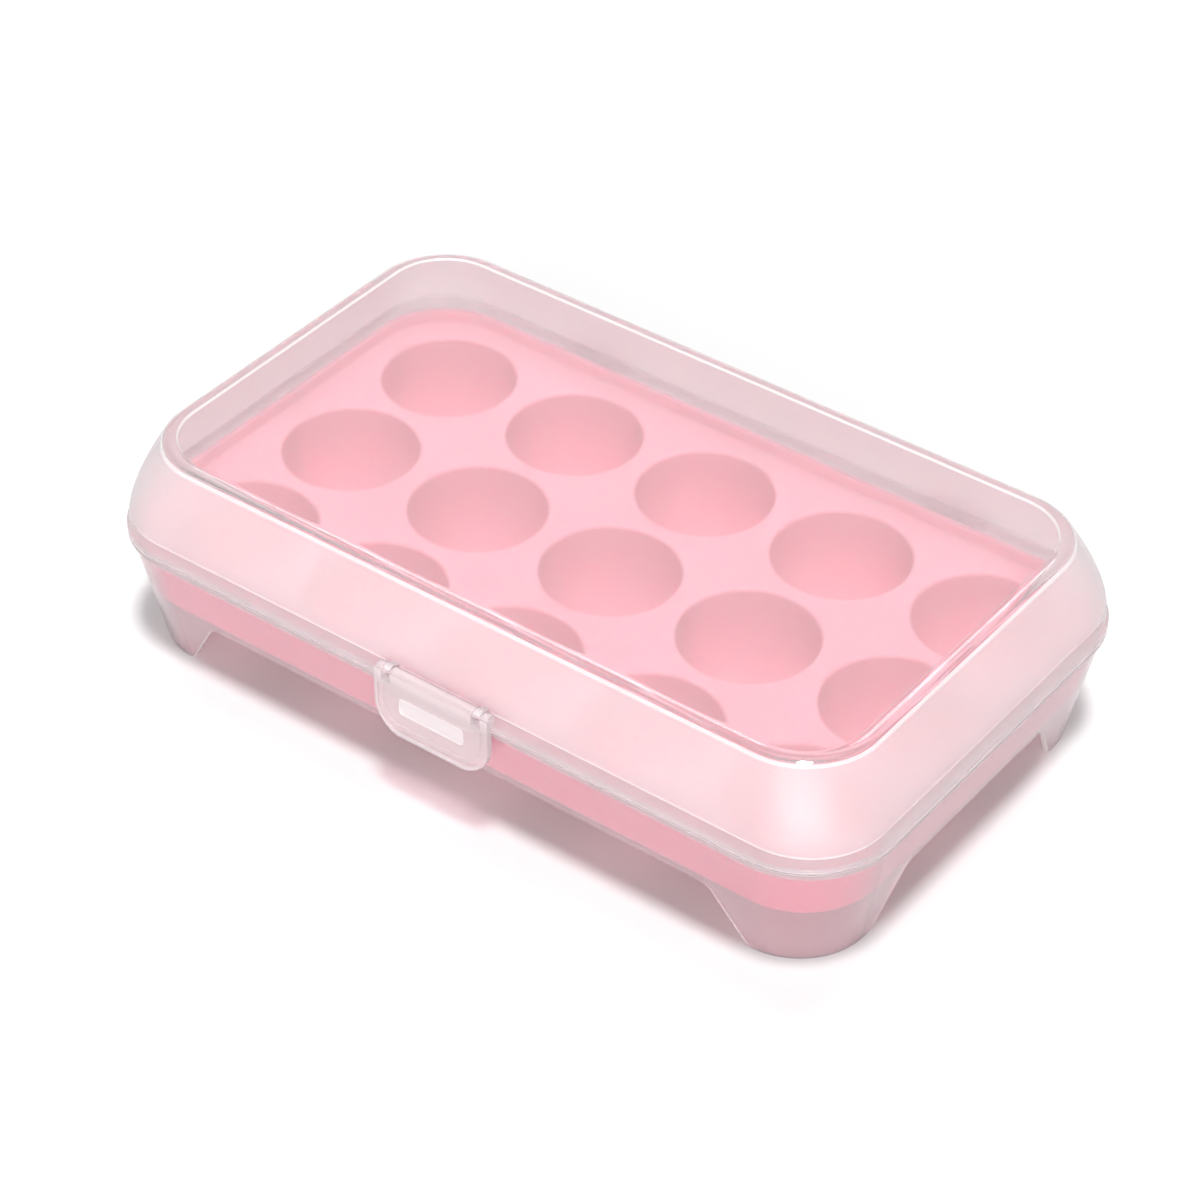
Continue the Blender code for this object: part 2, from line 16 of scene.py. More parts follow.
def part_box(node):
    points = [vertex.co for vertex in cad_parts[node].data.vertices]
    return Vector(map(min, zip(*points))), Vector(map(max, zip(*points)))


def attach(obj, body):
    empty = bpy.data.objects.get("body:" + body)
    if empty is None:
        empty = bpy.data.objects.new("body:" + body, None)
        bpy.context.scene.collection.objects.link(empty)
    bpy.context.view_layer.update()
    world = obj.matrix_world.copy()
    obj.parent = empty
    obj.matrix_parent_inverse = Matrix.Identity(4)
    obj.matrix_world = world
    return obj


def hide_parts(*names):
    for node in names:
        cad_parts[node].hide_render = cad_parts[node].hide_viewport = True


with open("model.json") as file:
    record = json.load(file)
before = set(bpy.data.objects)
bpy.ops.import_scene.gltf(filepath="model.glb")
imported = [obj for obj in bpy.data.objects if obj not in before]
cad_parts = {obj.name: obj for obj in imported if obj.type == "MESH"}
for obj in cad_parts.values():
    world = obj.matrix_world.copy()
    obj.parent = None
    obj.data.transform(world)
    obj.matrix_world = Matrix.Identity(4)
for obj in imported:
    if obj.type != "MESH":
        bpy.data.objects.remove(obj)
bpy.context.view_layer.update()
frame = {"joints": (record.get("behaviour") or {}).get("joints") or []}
MM = 0.001

# %% [markdown]
# The mouldings share one rounded rectangle: the rim where the lid meets the base. We read its size, its
# height and the middle of the body from the frame's boxes, so every piece lands where the construction is.
# The hinge sticks out behind and the latch in front, which is why the body's middle is not quite at Y = 0.

# %% Sizes read from the frame
tray_low, tray_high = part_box("tray")
base_low, base_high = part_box("base")
_, lid_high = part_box("lid")
latch_low, latch_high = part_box("latch")
MIDDLE_Y = (tray_low.y + tray_high.y) / 2
RIM_X = base_high.x
RIM_Y = MIDDLE_Y - base_low.y
RIM_TOP = tray_high.z
LID_TOP = lid_high.z
joints = {joint["name"]: joint for joint in frame["joints"]}
HINGE = Vector(joints["lid_hinge"]["pos_m"])
PIVOT = Vector(joints["latch_hinge"]["pos_m"])
print("rim", round(RIM_X / MM, 2), "and", round(RIM_Y / MM, 2), "mm from the middle")
print("rim's top at", round(RIM_TOP / MM, 2), "mm, lid's top at", round(LID_TOP / MM, 2), "mm")

# %% [markdown]
# The picture was taken from above the right front corner with a long lens, so the sides hardly converge.
# A camera is easiest to reason about as a turn round the object and a height above it, so we aim it that
# way and convert once. The roll is the slight tilt of a hand-held shot.

# %% Camera
IMAGE_SIZE = 1200
AIM = Vector((6.18 * MM, MIDDLE_Y - 12.76 * MM, 35.0 * MM))
AZIMUTH = radians(36.7825)
ELEVATION = radians(38.7172)
ROLL = radians(0.4549)
DISTANCE = 961.4 * MM
SENSOR = 36.0
FOCAL_PIXELS = 3577.0

camera_data = bpy.data.cameras.new("camera")
camera_data.sensor_width = SENSOR
camera_data.lens = FOCAL_PIXELS * SENSOR / IMAGE_SIZE
camera = bpy.data.objects.new("camera", camera_data)
bpy.context.scene.collection.objects.link(camera)
turn = Matrix.Rotation(AZIMUTH, 4, "Z") @ Matrix.Rotation(pi / 2 - ELEVATION, 4, "X")
back_from_aim = turn @ Vector((0, 0, DISTANCE))
camera.matrix_world = Matrix.Translation(AIM + back_from_aim) @ turn @ Matrix.Rotation(ROLL, 4, "Z")
bpy.context.scene.camera = camera
print("lens", round(camera_data.lens, 2), "mm")
print("camera at", [round(c, 3) for c in camera.matrix_world.translation])

# %% [markdown]
# Most of our shapes are skins over rounded rectangles, one for each corner of the wall's section. Bridging
# separate rings could pair their points wrongly where the corners' radii differ. So we draw the first ring
# only, as a plane with bevelled corners, and extrude it from each corner of the section to the next. After
# an extrusion each of the ring's four rounded corners is scaled about its own centre and moved. A ring is
# three numbers: how far it lies outside the rim, its height, and the radius of its corners.

# %% Helpers for skins
CORNER_SEGMENTS = 16
MERGE_DISTANCE = 0.001 * MM
CM3_IN_M3 = 1e6


def select_only(piece):
    if bpy.context.mode != "OBJECT":
        bpy.ops.object.mode_set(mode="OBJECT")
    bpy.ops.object.select_all(action="DESELECT")
    piece.select_set(True)
    bpy.context.view_layer.objects.active = piece


def start_piece(name):
    """A new mesh object at the origin, open in edit mode."""
    piece = bpy.data.objects.new(name, bpy.data.meshes.new(name))
    bpy.context.scene.collection.objects.link(piece)
    select_only(piece)
    bpy.ops.object.mode_set(mode="EDIT")
    return piece


def report(piece):
    """A moulding should hold a volume and have no open edges."""
    measured = bmesh.new()
    measured.from_mesh(piece.data)
    volume = measured.calc_volume(signed=True) * CM3_IN_M3
    unclosed = sum(not edge.is_manifold for edge in measured.edges)
    print(piece.name, len(measured.faces), "faces,", round(volume, 3), "cm3,", unclosed, "edges not closed")
    measured.free()


def corner_centre(ring, side_x, side_y):
    outset, z, corner = ring
    return Vector((side_x * (RIM_X + outset - corner), MIDDLE_Y + side_y * (RIM_Y + outset - corner), z))


def extrude_ring(piece, old, new):
    """Extrudes the selected ring and gives the new one its place and its corners' radius."""
    _, old_z, old_corner = old
    _, new_z, new_corner = new
    bpy.ops.mesh.extrude_region_move(TRANSFORM_OT_translate={"value": (0, 0, new_z - old_z)})
    mesh = bmesh.from_edit_mesh(piece.data)
    ring = [point for point in mesh.verts if point.select]
    scale = new_corner / old_corner
    for side_x, side_y in ((-1, -1), (1, -1), (-1, 1), (1, 1)):
        for point in ring:
            point.select = point.co.x * side_x > 0 and (point.co.y - MIDDLE_Y) * side_y > 0
        mesh.select_flush_mode()
        bmesh.update_edit_mesh(piece.data)
        centre = corner_centre(new, side_x, side_y)
        old_centre = corner_centre(old, side_x, side_y)
        old_centre.z = centre.z
        bpy.ops.transform.resize(value=(scale, scale, 1), center_override=old_centre)
        bpy.ops.transform.translate(value=centre - old_centre)
    for point in ring:
        point.select = True
    mesh.select_flush(True)
    bmesh.update_edit_mesh(piece.data)


def skin(name, rings, ends):
    """Extrudes the first ring through all. Its ends are joined to each other, both filled, or left open."""
    piece = start_piece(name)
    outset, z, corner = rings[0]
    centre = (0, MIDDLE_Y, z)
    bpy.ops.mesh.primitive_plane_add(size=2, location=centre)
    bpy.ops.transform.resize(value=(RIM_X + outset, RIM_Y + outset, 1), center_override=centre)
    bpy.ops.mesh.bevel(offset=corner, segments=CORNER_SEGMENTS, affect="VERTICES")
    bpy.ops.mesh.delete(type="ONLY_FACE")
    bpy.ops.mesh.select_all(action="SELECT")
    followers = rings[1:] + rings[:1] if ends == "joined" else rings[1:]
    for old, new in zip(rings, followers):
        extrude_ring(piece, old, new)
    bpy.ops.mesh.select_all(action="SELECT")
    if ends == "joined":
        bpy.ops.mesh.remove_doubles(threshold=MERGE_DISTANCE)
    if ends == "filled":
        bpy.ops.mesh.fill_holes(sides=0)
    bpy.ops.mesh.select_all(action="SELECT")
    bpy.ops.mesh.normals_make_consistent(inside=False)
    bpy.ops.object.mode_set(mode="OBJECT")
    report(piece)
    return piece


print("a rounded corner has", CORNER_SEGMENTS, "segments")

# %% [markdown]
# The base starts as a leaning wall with a flange on top and a rebate inside, all moulded in one. Each corner
# of its section becomes one ring, and the section is closed, so the last ring meets the first.

# %% Base wall
RIM_CORNER = 25.8 * MM
BASE_WALL = 1.5 * MM
FLANGE_OVERHANG = 0.6 * MM
FLANGE_UNDER = RIM_TOP - 1.6 * MM
BASE_LEAN = 6.8 * MM
CORNER_LEAN_RATIO = 0.6
REBATE_FLOOR = RIM_TOP - 1.3 * MM
REBATE_SIDE = -1.1 * MM


def wall_ring(outset, z):
    """A ring of the leaning wall, or of a piece beside it. Its corners tighten less than it leans."""
    lean = (RIM_TOP - z) * BASE_LEAN / RIM_TOP
    return outset - lean, z, RIM_CORNER + outset - lean * CORNER_LEAN_RATIO


outside = -FLANGE_OVERHANG
inside = outside - BASE_WALL
base = skin(
    "frosted_base",
    [
        (0, RIM_TOP, RIM_CORNER),
        (0, FLANGE_UNDER, RIM_CORNER),
        wall_ring(outside, FLANGE_UNDER),
        wall_ring(outside, 0),
        wall_ring(inside, 0),
        wall_ring(inside, REBATE_FLOOR),
        (REBATE_SIDE, REBATE_FLOOR, RIM_CORNER + REBATE_SIDE),
        (REBATE_SIDE, RIM_TOP, RIM_CORNER + REBATE_SIDE),
    ],
    ends="joined",
)

# %% [markdown]
# Arches, hinges and the latch are made from simpler shapes: outlines that are given a width, blocks and rods,
# which Booleans join or cut. Each piece has two finishes, a main one and one for its edges. They are still
# empty slots here. A Boolean keeps them, so a cutter can mark the faces that it leaves.

# %% Helpers for cut and added shapes
MAIN_FINISH = 0
EDGE_FINISH = 1
ROD_POINTS = 48


def apply_modifier(piece, kind, **settings):
    select_only(piece)
    modifier = piece.modifiers.new(kind.title(), kind)
    for key, value in settings.items():
        setattr(modifier, key, value)
    bpy.ops.object.modifier_apply(modifier=modifier.name)


def combine(piece, operation, *tools):
    """A Boolean with each tool in turn. The tools are used up."""
    for tool in tools:
        apply_modifier(piece, "BOOLEAN", operation=operation, solver="EXACT", object=tool)
        bpy.data.objects.remove(tool)


def make_slots(piece):
    """Empty slots for the main finish and the one of the edges."""
    while len(piece.data.materials) <= EDGE_FINISH:
        piece.data.materials.append(None)


def mark_faces(piece, finish):
    """Gives all faces one finish, which a cutter passes on to what it cuts."""
    make_slots(piece)
    for face in piece.data.polygons:
        face.material_index = finish


def arc(centre, radius, start, end, steps):
    angles = [start + (end - start) * step / steps for step in range(steps + 1)]
    return [(centre[0] + radius * cos(a), centre[1] + radius * sin(a)) for a in angles]


def prism(name, outline, axis, low, high):
    """A flat outline in YZ (axis X) or XZ (axis Y), filled, then extruded from low to high."""
    piece = start_piece(name)
    bpy.ops.object.mode_set(mode="OBJECT")
    points = [(low, u, v) if axis == "X" else (u, low, v) for u, v in outline]
    edges = [(i, (i + 1) % len(points)) for i in range(len(points))]
    piece.data.from_pydata(points, edges, [])
    bpy.ops.object.mode_set(mode="EDIT")
    bpy.ops.mesh.select_all(action="SELECT")
    bpy.ops.mesh.edge_face_add()
    step = (high - low, 0, 0) if axis == "X" else (0, high - low, 0)
    bpy.ops.mesh.extrude_region_move(TRANSFORM_OT_translate={"value": step})
    bpy.ops.mesh.select_all(action="SELECT")
    bpy.ops.mesh.normals_make_consistent(inside=False)
    bpy.ops.object.mode_set(mode="OBJECT")
    return piece


def block(name, low, high):
    """A cube primitive stretched between two corners."""
    piece = start_piece(name)
    centre = [(a + b) / 2 for a, b in zip(low, high)]
    bpy.ops.mesh.primitive_cube_add(size=1, location=centre)
    bpy.ops.transform.resize(value=[b - a for a, b in zip(low, high)], center_override=centre)
    bpy.ops.object.mode_set(mode="OBJECT")
    return piece


def rod(name, y, z, radius, low, high):
    """A cylinder primitive along X."""
    piece = start_piece(name)
    centre = ((low + high) / 2, y, z)
    bpy.ops.mesh.primitive_cylinder_add(
        vertices=ROD_POINTS, radius=radius, depth=high - low, location=centre, rotation=(0, pi / 2, 0)
    )
    bpy.ops.object.mode_set(mode="OBJECT")
    return piece


print("a rod has", ROD_POINTS, "points round it")

# %% [markdown]
# Four arches lighten the base and leave a foot at every corner. Two outlines cut them through the wall, one
# along each side. Light travels inside clear plastic and comes out where a wall ends, so the faces that the
# cuts leave get the edges' paler finish.

# %% Arches
ARCH_HEIGHT = 17.5 * MM
ARCH_RUN = 11.0 * MM
ARCH_TOP_RADIUS = 4.5 * MM
ARCH_TOE_RADIUS = 3.2 * MM
ARCH_STEPS = 12
FOOT_X = 19.9 * MM
FOOT_Y = 22.0 * MM
SLOPE_SPLIT = 0.2
OVERRUN = 4.0 * MM


def arch_outline(half_outside, foot):
    """Level on top, down a curved slope on each side to the feet, and open below. Each slope is split once."""
    slope = atan2(ARCH_RUN, ARCH_HEIGHT)
    bend = tan((pi / 2 - slope) / 2)
    toe = half_outside - foot
    top = toe - (ARCH_TOE_RADIUS + ARCH_TOP_RADIUS) * bend - ARCH_RUN
    low = arc((toe, ARCH_TOE_RADIUS), ARCH_TOE_RADIUS, -pi / 2, slope - pi, ARCH_STEPS)
    high = arc((top, ARCH_HEIGHT - ARCH_TOP_RADIUS), ARCH_TOP_RADIUS, slope, pi / 2, ARCH_STEPS)
    split = [a + (b - a) * SLOPE_SPLIT for a, b in zip(low[-1], high[0])]
    right = [(toe, -OVERRUN), *low, split, *high]
    return right + [(-u, v) for u, v in reversed(right)]


long_outline = arch_outline(RIM_X + outside - BASE_LEAN, FOOT_X)
short_outline = [(MIDDLE_Y + u, v) for u, v in arch_outline(RIM_Y + outside - BASE_LEAN, FOOT_Y)]
cuts = [
    prism("long_cut", long_outline, "Y", -RIM_Y - OVERRUN, RIM_Y + OVERRUN),
    prism("short_cut", short_outline, "X", -RIM_X - OVERRUN, RIM_X + OVERRUN),
]
mark_faces(base, MAIN_FINISH)
for cut in cuts:
    mark_faces(cut, EDGE_FINISH)
combine(base, "DIFFERENCE", *cuts)
report(base)

# %% [markdown]
# Behind, the hinge is moulded on: the base has two short bars, each held between two ears, and the lid has
# open hooks that snap over them. An ear is an outline with a round end on the hinge's line, given a width.

# %% Hinge ears and bars
HINGE_SPREAD = 124.0 * MM
BAR_LENGTH = 14.0 * MM
BAR_RADIUS = 1.5 * MM
EAR_WIDTH = 2.6 * MM
EAR_RADIUS = BAR_RADIUS + 1.1 * MM
EAR_DEPTH = 3.4 * MM
EAR_STEPS = 32
PARTING = 0.3 * MM


def hinge_ears(middle):
    wall_middle = MIDDLE_Y + RIM_Y + inside + BASE_WALL / 2
    top = RIM_TOP - PARTING / 2
    top_angle = pi - (top - HINGE.z) / EAR_RADIUS
    round_end = arc((HINGE.y, HINGE.z), EAR_RADIUS, -pi / 2, top_angle, EAR_STEPS)
    outline = [(wall_middle, RIM_TOP - EAR_DEPTH), *round_end, (MIDDLE_Y + RIM_Y + REBATE_SIDE / 2, top)]
    low = middle - BAR_LENGTH / 2
    high = middle + BAR_LENGTH / 2
    return [
        prism("ear", outline, "X", low - EAR_WIDTH, low),
        prism("ear", outline, "X", high, high + EAR_WIDTH),
        rod("bar", HINGE.y, HINGE.z, BAR_RADIUS, low - EAR_WIDTH / 2, high + EAR_WIDTH / 2),
    ]


for side in (-1, 1):
    combine(base, "UNION", *hinge_ears(side * HINGE_SPREAD / 2))
report(base)

# %% [markdown]
# No moulding has sharp edges. A bevel rounds each edge by a few tenths of a millimetre, and the narrow faces
# that it makes get the edges' finish, which on the clear pieces is pale, a painted highlight. Weighted
# normals then keep the flat faces flat beside them.

# %% Rounded edges of the base
BASE_SOFTENING = 0.3 * MM
SOFT_SEGMENTS = 2
SOFT_ANGLE = radians(28)
SMOOTH_ANGLE = radians(40)


def soften(piece, width, angle=SOFT_ANGLE):
    make_slots(piece)
    limit = {"limit_method": "ANGLE", "angle_limit": angle}
    apply_modifier(piece, "BEVEL", width=width, segments=SOFT_SEGMENTS, material=EDGE_FINISH, **limit)
    select_only(piece)
    bpy.ops.object.shade_smooth_by_angle(angle=SMOOTH_ANGLE)
    apply_modifier(piece, "WEIGHTED_NORMAL", keep_sharp=True)
    report(piece)


soften(base, BASE_SOFTENING)

# %% [markdown]
# The lid starts at the middle of its panel and runs out over a low bead and the shoulder, down a wall that
# curves outwards and over a steep ledge to the rim, then back up the inside. A wall that curves is stiffer
# than a flat one, and here it makes the lid and the base meet without a step at the corners. A narrow ring
# above the ledge changes nothing in the shape. It will carry the pale line that runs round the lid there, a
# painted highlight.

# %% Lid shell
LID_WALL = 1.3 * MM
LID_BOTTOM = RIM_TOP + PARTING
LID_FLANGE_TOP = LID_BOTTOM + 1.2 * MM
LID_RIM_WIDTH = 2.4 * MM
RIM_CHAMFER = 0.6 * MM
LEDGE_OUTSET = -1.6 * MM
LEDGE_TOP = LID_FLANGE_TOP + 3.0 * MM
# Width of the ring that carries the painted highlight line above the ledge.
PAINTED_LINE_WIDTH = 0.6 * MM
LID_LEAN = 6.9 * MM
WALL_CURVE = 1.45
WALL_STEPS = 8
LID_CORNER = 22.5 * MM
ROUNDING = 0.8 * MM
SHOULDER = LID_TOP - 1.2 * MM
SHOULDER_OUTSET = LEDGE_OUTSET - LID_LEAN - ROUNDING
BEAD_OUTSIDE = SHOULDER_OUTSET - 2.4 * MM
BEAD_INSIDE = BEAD_OUTSIDE - 1.4 * MM
BEAD_SLOPE = 0.5 * MM
PANEL_TOP = LID_TOP - 0.5 * MM
PANEL_UNDER = PANEL_TOP - LID_WALL


def lid_wall(inset):
    """The rings of the curved wall, from the ledge up to the shoulder's edge."""
    height = SHOULDER - ROUNDING - LEDGE_TOP
    shares = [step / WALL_STEPS for step in range(WALL_STEPS + 1)]
    return [
        (LEDGE_OUTSET - inset - LID_LEAN * share**WALL_CURVE, LEDGE_TOP + height * share, LID_CORNER - inset)
        for share in shares
    ]


def shoulder_ring(outset, z):
    return outset, z, LID_CORNER - ROUNDING + outset - SHOULDER_OUTSET


lid = skin(
    "clear_lid",
    [
        shoulder_ring(BEAD_INSIDE - BEAD_SLOPE, PANEL_TOP),
        shoulder_ring(BEAD_INSIDE, LID_TOP),
        shoulder_ring(BEAD_OUTSIDE, LID_TOP),
        shoulder_ring(SHOULDER_OUTSET, SHOULDER),
        *reversed(lid_wall(0)[1:]),
        (LEDGE_OUTSET, LEDGE_TOP + PAINTED_LINE_WIDTH, LID_CORNER),
        (LEDGE_OUTSET, LEDGE_TOP, LID_CORNER),
        (-RIM_CHAMFER, LID_FLANGE_TOP, RIM_CORNER - RIM_CHAMFER),
        (0, LID_FLANGE_TOP - RIM_CHAMFER, RIM_CORNER),
        (0, LID_BOTTOM, RIM_CORNER),
        (-LID_RIM_WIDTH, LID_BOTTOM, LID_CORNER - LID_WALL),
        *lid_wall(LID_WALL),
        shoulder_ring(SHOULDER_OUTSET - LID_WALL, PANEL_UNDER),
    ],
    ends="filled",
)

# %% [markdown]
# The lid's hooks are rings with a quarter left open, facing down, so they can snap over the bars. The two
# lugs for the latch are the same shape, smaller, and open to the front.

# %% Hooks and lugs
HOOK_INSIDE = BAR_RADIUS + PARTING
HOOK_OUTSIDE = HOOK_INSIDE + 1.2 * MM
ARM_LIFT = 0.3 * MM
PIN_RADIUS = 0.9 * MM
LUG_INSIDE = PIN_RADIUS + PARTING
LUG_OUTSIDE = LUG_INSIDE + 0.8 * MM
LUG_WIDTH = 2.2 * MM
LUG_X = latch_high.x - 3.8 * MM
ROOT_LIFT = 0.6 * MM
SIDE_CLEARANCE = 0.4 * MM
RING_STEPS = 36
LID_SOFTENING = 0.32 * MM


def open_ring(name, centre, inner, outer, mouth, low, high):
    """A snap ring's outline has a quarter left open at the angle mouth."""
    start = mouth + pi / 4
    end = mouth - pi / 4 + 2 * pi
    outline = arc(centre, outer, start, end, RING_STEPS) + arc(centre, inner, end, start, RING_STEPS)
    return prism(name, outline, "X", low, high)


def hinge_hook(middle):
    low = middle - BAR_LENGTH / 2 + SIDE_CLEARANCE
    high = middle + BAR_LENGTH / 2 - SIDE_CLEARANCE
    arm_low = (low, MIDDLE_Y + RIM_Y + LEDGE_OUTSET, LID_BOTTOM + ARM_LIFT)
    arm_high = (high, HINGE.y - HOOK_INSIDE, HINGE.z + HOOK_INSIDE)
    ring = open_ring("hook", (HINGE.y, HINGE.z), HOOK_INSIDE, HOOK_OUTSIDE, -pi / 2, low, high)
    return [ring, block("arm", arm_low, arm_high)]


def latch_lug(middle):
    low = middle - LUG_WIDTH / 2
    high = middle + LUG_WIDTH / 2
    root_low = (low, PIVOT.y + LUG_INSIDE, LID_BOTTOM + ROOT_LIFT)
    root_high = (high, MIDDLE_Y - RIM_Y - LEDGE_OUTSET + LID_WALL / 3, PIVOT.z + LUG_INSIDE)
    ring = open_ring("lug", (PIVOT.y, PIVOT.z), LUG_INSIDE, LUG_OUTSIDE, pi, low, high)
    return [ring, block("root", root_low, root_high)]


for side in (-1, 1):
    combine(lid, "UNION", *hinge_hook(side * HINGE_SPREAD / 2))
    combine(lid, "UNION", *latch_lug(side * LUG_X))
soften(lid, LID_SOFTENING)

# %% [markdown]
# One cup is modelled and fourteen are copied from it. Its mouth is a circle that is extruded down in steps,
# first round a small lip and then along an ellipse. The steps end short of its lowest point, and a level disc
# closes the cup at its full depth. The same is done for the underside, one wall thickness further out, so the
# tray is a real moulding with two faces.

# %% One cup
TRAY_WALL = 1.1 * MM
DECK_TOP = RIM_TOP - 3.0 * MM
DECK_UNDER = DECK_TOP - TRAY_WALL
CUP_RADIUS = 20.6 * MM
LIP = 1.0 * MM
LIP_STEPS = 4
CUP_DEPTH = 28.0 * MM
STRAIGHT = 0.12 * CUP_DEPTH
BOWL_STEPS = 14
BOWL_END = radians(80)
CUP_POINTS = 64


def bowl_steps(wall):
    """Radius and height of each ring from the lip down, moved out and down by wall."""
    mouth = CUP_RADIUS - LIP
    yield mouth + wall, DECK_TOP - STRAIGHT
    for step in range(1, BOWL_STEPS + 1):
        angle = BOWL_END * step / BOWL_STEPS
        depth = STRAIGHT + (CUP_DEPTH - STRAIGHT) * sin(angle) / sin(BOWL_END)
        yield mouth * cos(angle) + wall * cos(angle), DECK_TOP - depth - wall * sin(angle)


def lip_steps():
    for step in range(1, LIP_STEPS + 1):
        angle = pi / 2 * step / LIP_STEPS
        yield CUP_RADIUS - LIP * sin(angle), DECK_TOP - LIP + LIP * cos(angle)


def extrude_rings(radius, z, rings):
    """Extrudes the selected circle through the rings, each a radius and a height, and closes the last."""
    for new_radius, new_z in rings:
        bpy.ops.mesh.extrude_region_move(TRANSFORM_OT_translate={"value": (0, 0, new_z - z)})
        scale = new_radius / radius
        bpy.ops.transform.resize(value=(scale, scale, 1), center_override=(0, 0, new_z))
        radius, z = new_radius, new_z
    bpy.ops.mesh.edge_face_add()


cup = start_piece("cup")
bpy.ops.mesh.primitive_circle_add(vertices=CUP_POINTS, radius=CUP_RADIUS, location=(0, 0, DECK_TOP))
extrude_rings(CUP_RADIUS, DECK_TOP, [*lip_steps(), *bowl_steps(0)])
bpy.ops.mesh.select_all(action="DESELECT")
under_radius = CUP_RADIUS - LIP + TRAY_WALL
bpy.ops.mesh.primitive_circle_add(vertices=CUP_POINTS, radius=under_radius, location=(0, 0, DECK_UNDER))
extrude_rings(under_radius, DECK_UNDER, bowl_steps(TRAY_WALL))
bpy.ops.object.mode_set(mode="OBJECT")
print("one cup has", len(cup.data.polygons), "faces")

# %% [markdown]
# The tray's rim is a skin like the others. It lies in the base's rebate, and its skirt hangs down behind the
# wall, where it shows as a pink band. The skin is left open in the middle, at the deck's top and underside.

# %% Tray rim and skirt
EDGE_UNDER = RIM_TOP - 1.0 * MM
SKIRT_OUTSIDE = inside - 0.4 * MM
SKIRT_INSIDE = SKIRT_OUTSIDE - TRAY_WALL
SKIRT_BOTTOM = ARCH_HEIGHT + 1.4 * MM
TRAY_EDGE = REBATE_SIDE - PARTING

tray = skin(
    "pink_tray",
    [
        wall_ring(SKIRT_INSIDE, DECK_TOP),
        wall_ring(SKIRT_INSIDE, RIM_TOP),
        (TRAY_EDGE, RIM_TOP, RIM_CORNER + TRAY_EDGE),
        (TRAY_EDGE, EDGE_UNDER, RIM_CORNER + TRAY_EDGE),
        wall_ring(SKIRT_OUTSIDE, EDGE_UNDER),
        wall_ring(SKIRT_OUTSIDE, SKIRT_BOTTOM),
        wall_ring(SKIRT_INSIDE, SKIRT_BOTTOM),
        wall_ring(SKIRT_INSIDE, DECK_UNDER),
    ],
    ends="open",
)

# %% [markdown]
# Now the cups are copied into three rows of five. With all of them in place, Fill closes the deck round the
# mouths, once at the level of its top and once at the level of its underside.

# %% Rows of cups and the deck
COLUMNS = 5
ROWS = 3
PITCH_X = 46.0 * MM
PITCH_Y = 44.2 * MM
LEVEL_TOLERANCE = 0.01 * MM
TRAY_SOFTENING = 0.25 * MM
TRAY_SOFT_ANGLE = radians(32)

cups = []
for number in range(COLUMNS * ROWS):
    row, column = divmod(number, COLUMNS)
    from_middle_x = (column - (COLUMNS - 1) / 2) * PITCH_X
    from_middle_y = (row - (ROWS - 1) / 2) * PITCH_Y
    copy = bpy.data.objects.new("cup", cup.data.copy())
    copy.data.transform(Matrix.Translation((from_middle_x, MIDDLE_Y + from_middle_y, 0)))
    bpy.context.scene.collection.objects.link(copy)
    cups.append(copy)
print(len(cups), "cups")
bpy.data.objects.remove(cup)
select_only(tray)
for copy in cups:
    copy.select_set(True)
bpy.ops.object.join()
bpy.ops.object.mode_set(mode="EDIT")
for level in (DECK_TOP, DECK_UNDER):
    bpy.ops.mesh.select_all(action="DESELECT")
    mesh = bmesh.from_edit_mesh(tray.data)
    for edge in mesh.edges:
        on_level = all(abs(point.co.z - level) < LEVEL_TOLERANCE for point in edge.verts)
        edge.select = edge.is_boundary and on_level
    bmesh.update_edit_mesh(tray.data)
    bpy.ops.mesh.fill(use_beauty=True)
bpy.ops.mesh.select_all(action="SELECT")
bpy.ops.mesh.normals_make_consistent(inside=False)
bpy.ops.object.mode_set(mode="OBJECT")
soften(tray, TRAY_SOFTENING, TRAY_SOFT_ANGLE)

# %% [markdown]
# The latch is a plate with a shallow relief on its front. The front outline is cut out of the side section,
# so the lower lip can flare outwards while the corners stay round. Everything else is added to that plate or
# cut from it.

# %% Latch plate
LATCH_PLATE = 1.4 * MM
BORDER_HEIGHT = 0.5 * MM
FLARE = 0.7 * MM
FLARE_HEIGHT = 4.0 * MM
FLARE_STEPS = 8
LATCH_CORNER = 8.5 * MM
SMALLEST_CORNER = 1.6 * MM
LATCH_CORNER_STEPS = 16
LATCH_HALF = latch_high.x
LATCH_BOTTOM = latch_low.z
BARREL_RADIUS = 1.7 * MM
LATCH_TOP = PIVOT.z + BARREL_RADIUS / 2
PLATE_BACK = MIDDLE_Y - RIM_Y - 1.0 * MM
PLATE_FRONT = PLATE_BACK - LATCH_PLATE - BORDER_HEIGHT


def latch_front(inset, top_inset):
    """Seen from the front: square at the pivot, with large round corners below."""
    half = LATCH_HALF - inset
    corner = max(LATCH_CORNER - inset, SMALLEST_CORNER)
    low = LATCH_BOTTOM + inset
    top = LATCH_TOP - top_inset
    right = arc((half - corner, low + corner), corner, -pi / 2, 0, LATCH_CORNER_STEPS)
    return [*right, (half, top), (-half, top), *[(-u, v) for u, v in reversed(right)]]


def latch_side():
    """The plate's section bends outwards along an arc towards its lower lip."""
    bend = LATCH_BOTTOM + FLARE_HEIGHT
    radius = (FLARE_HEIGHT**2 + FLARE**2) / (2 * FLARE)
    sweep = atan2(FLARE_HEIGHT, radius - FLARE)
    front = arc((PLATE_FRONT - radius, bend), radius, 0, -sweep, FLARE_STEPS)
    back = [(y + LATCH_PLATE + BORDER_HEIGHT, z) for y, z in reversed(front)]
    return [(PLATE_FRONT, LATCH_TOP), *front, *back, (PLATE_BACK, LATCH_TOP)]


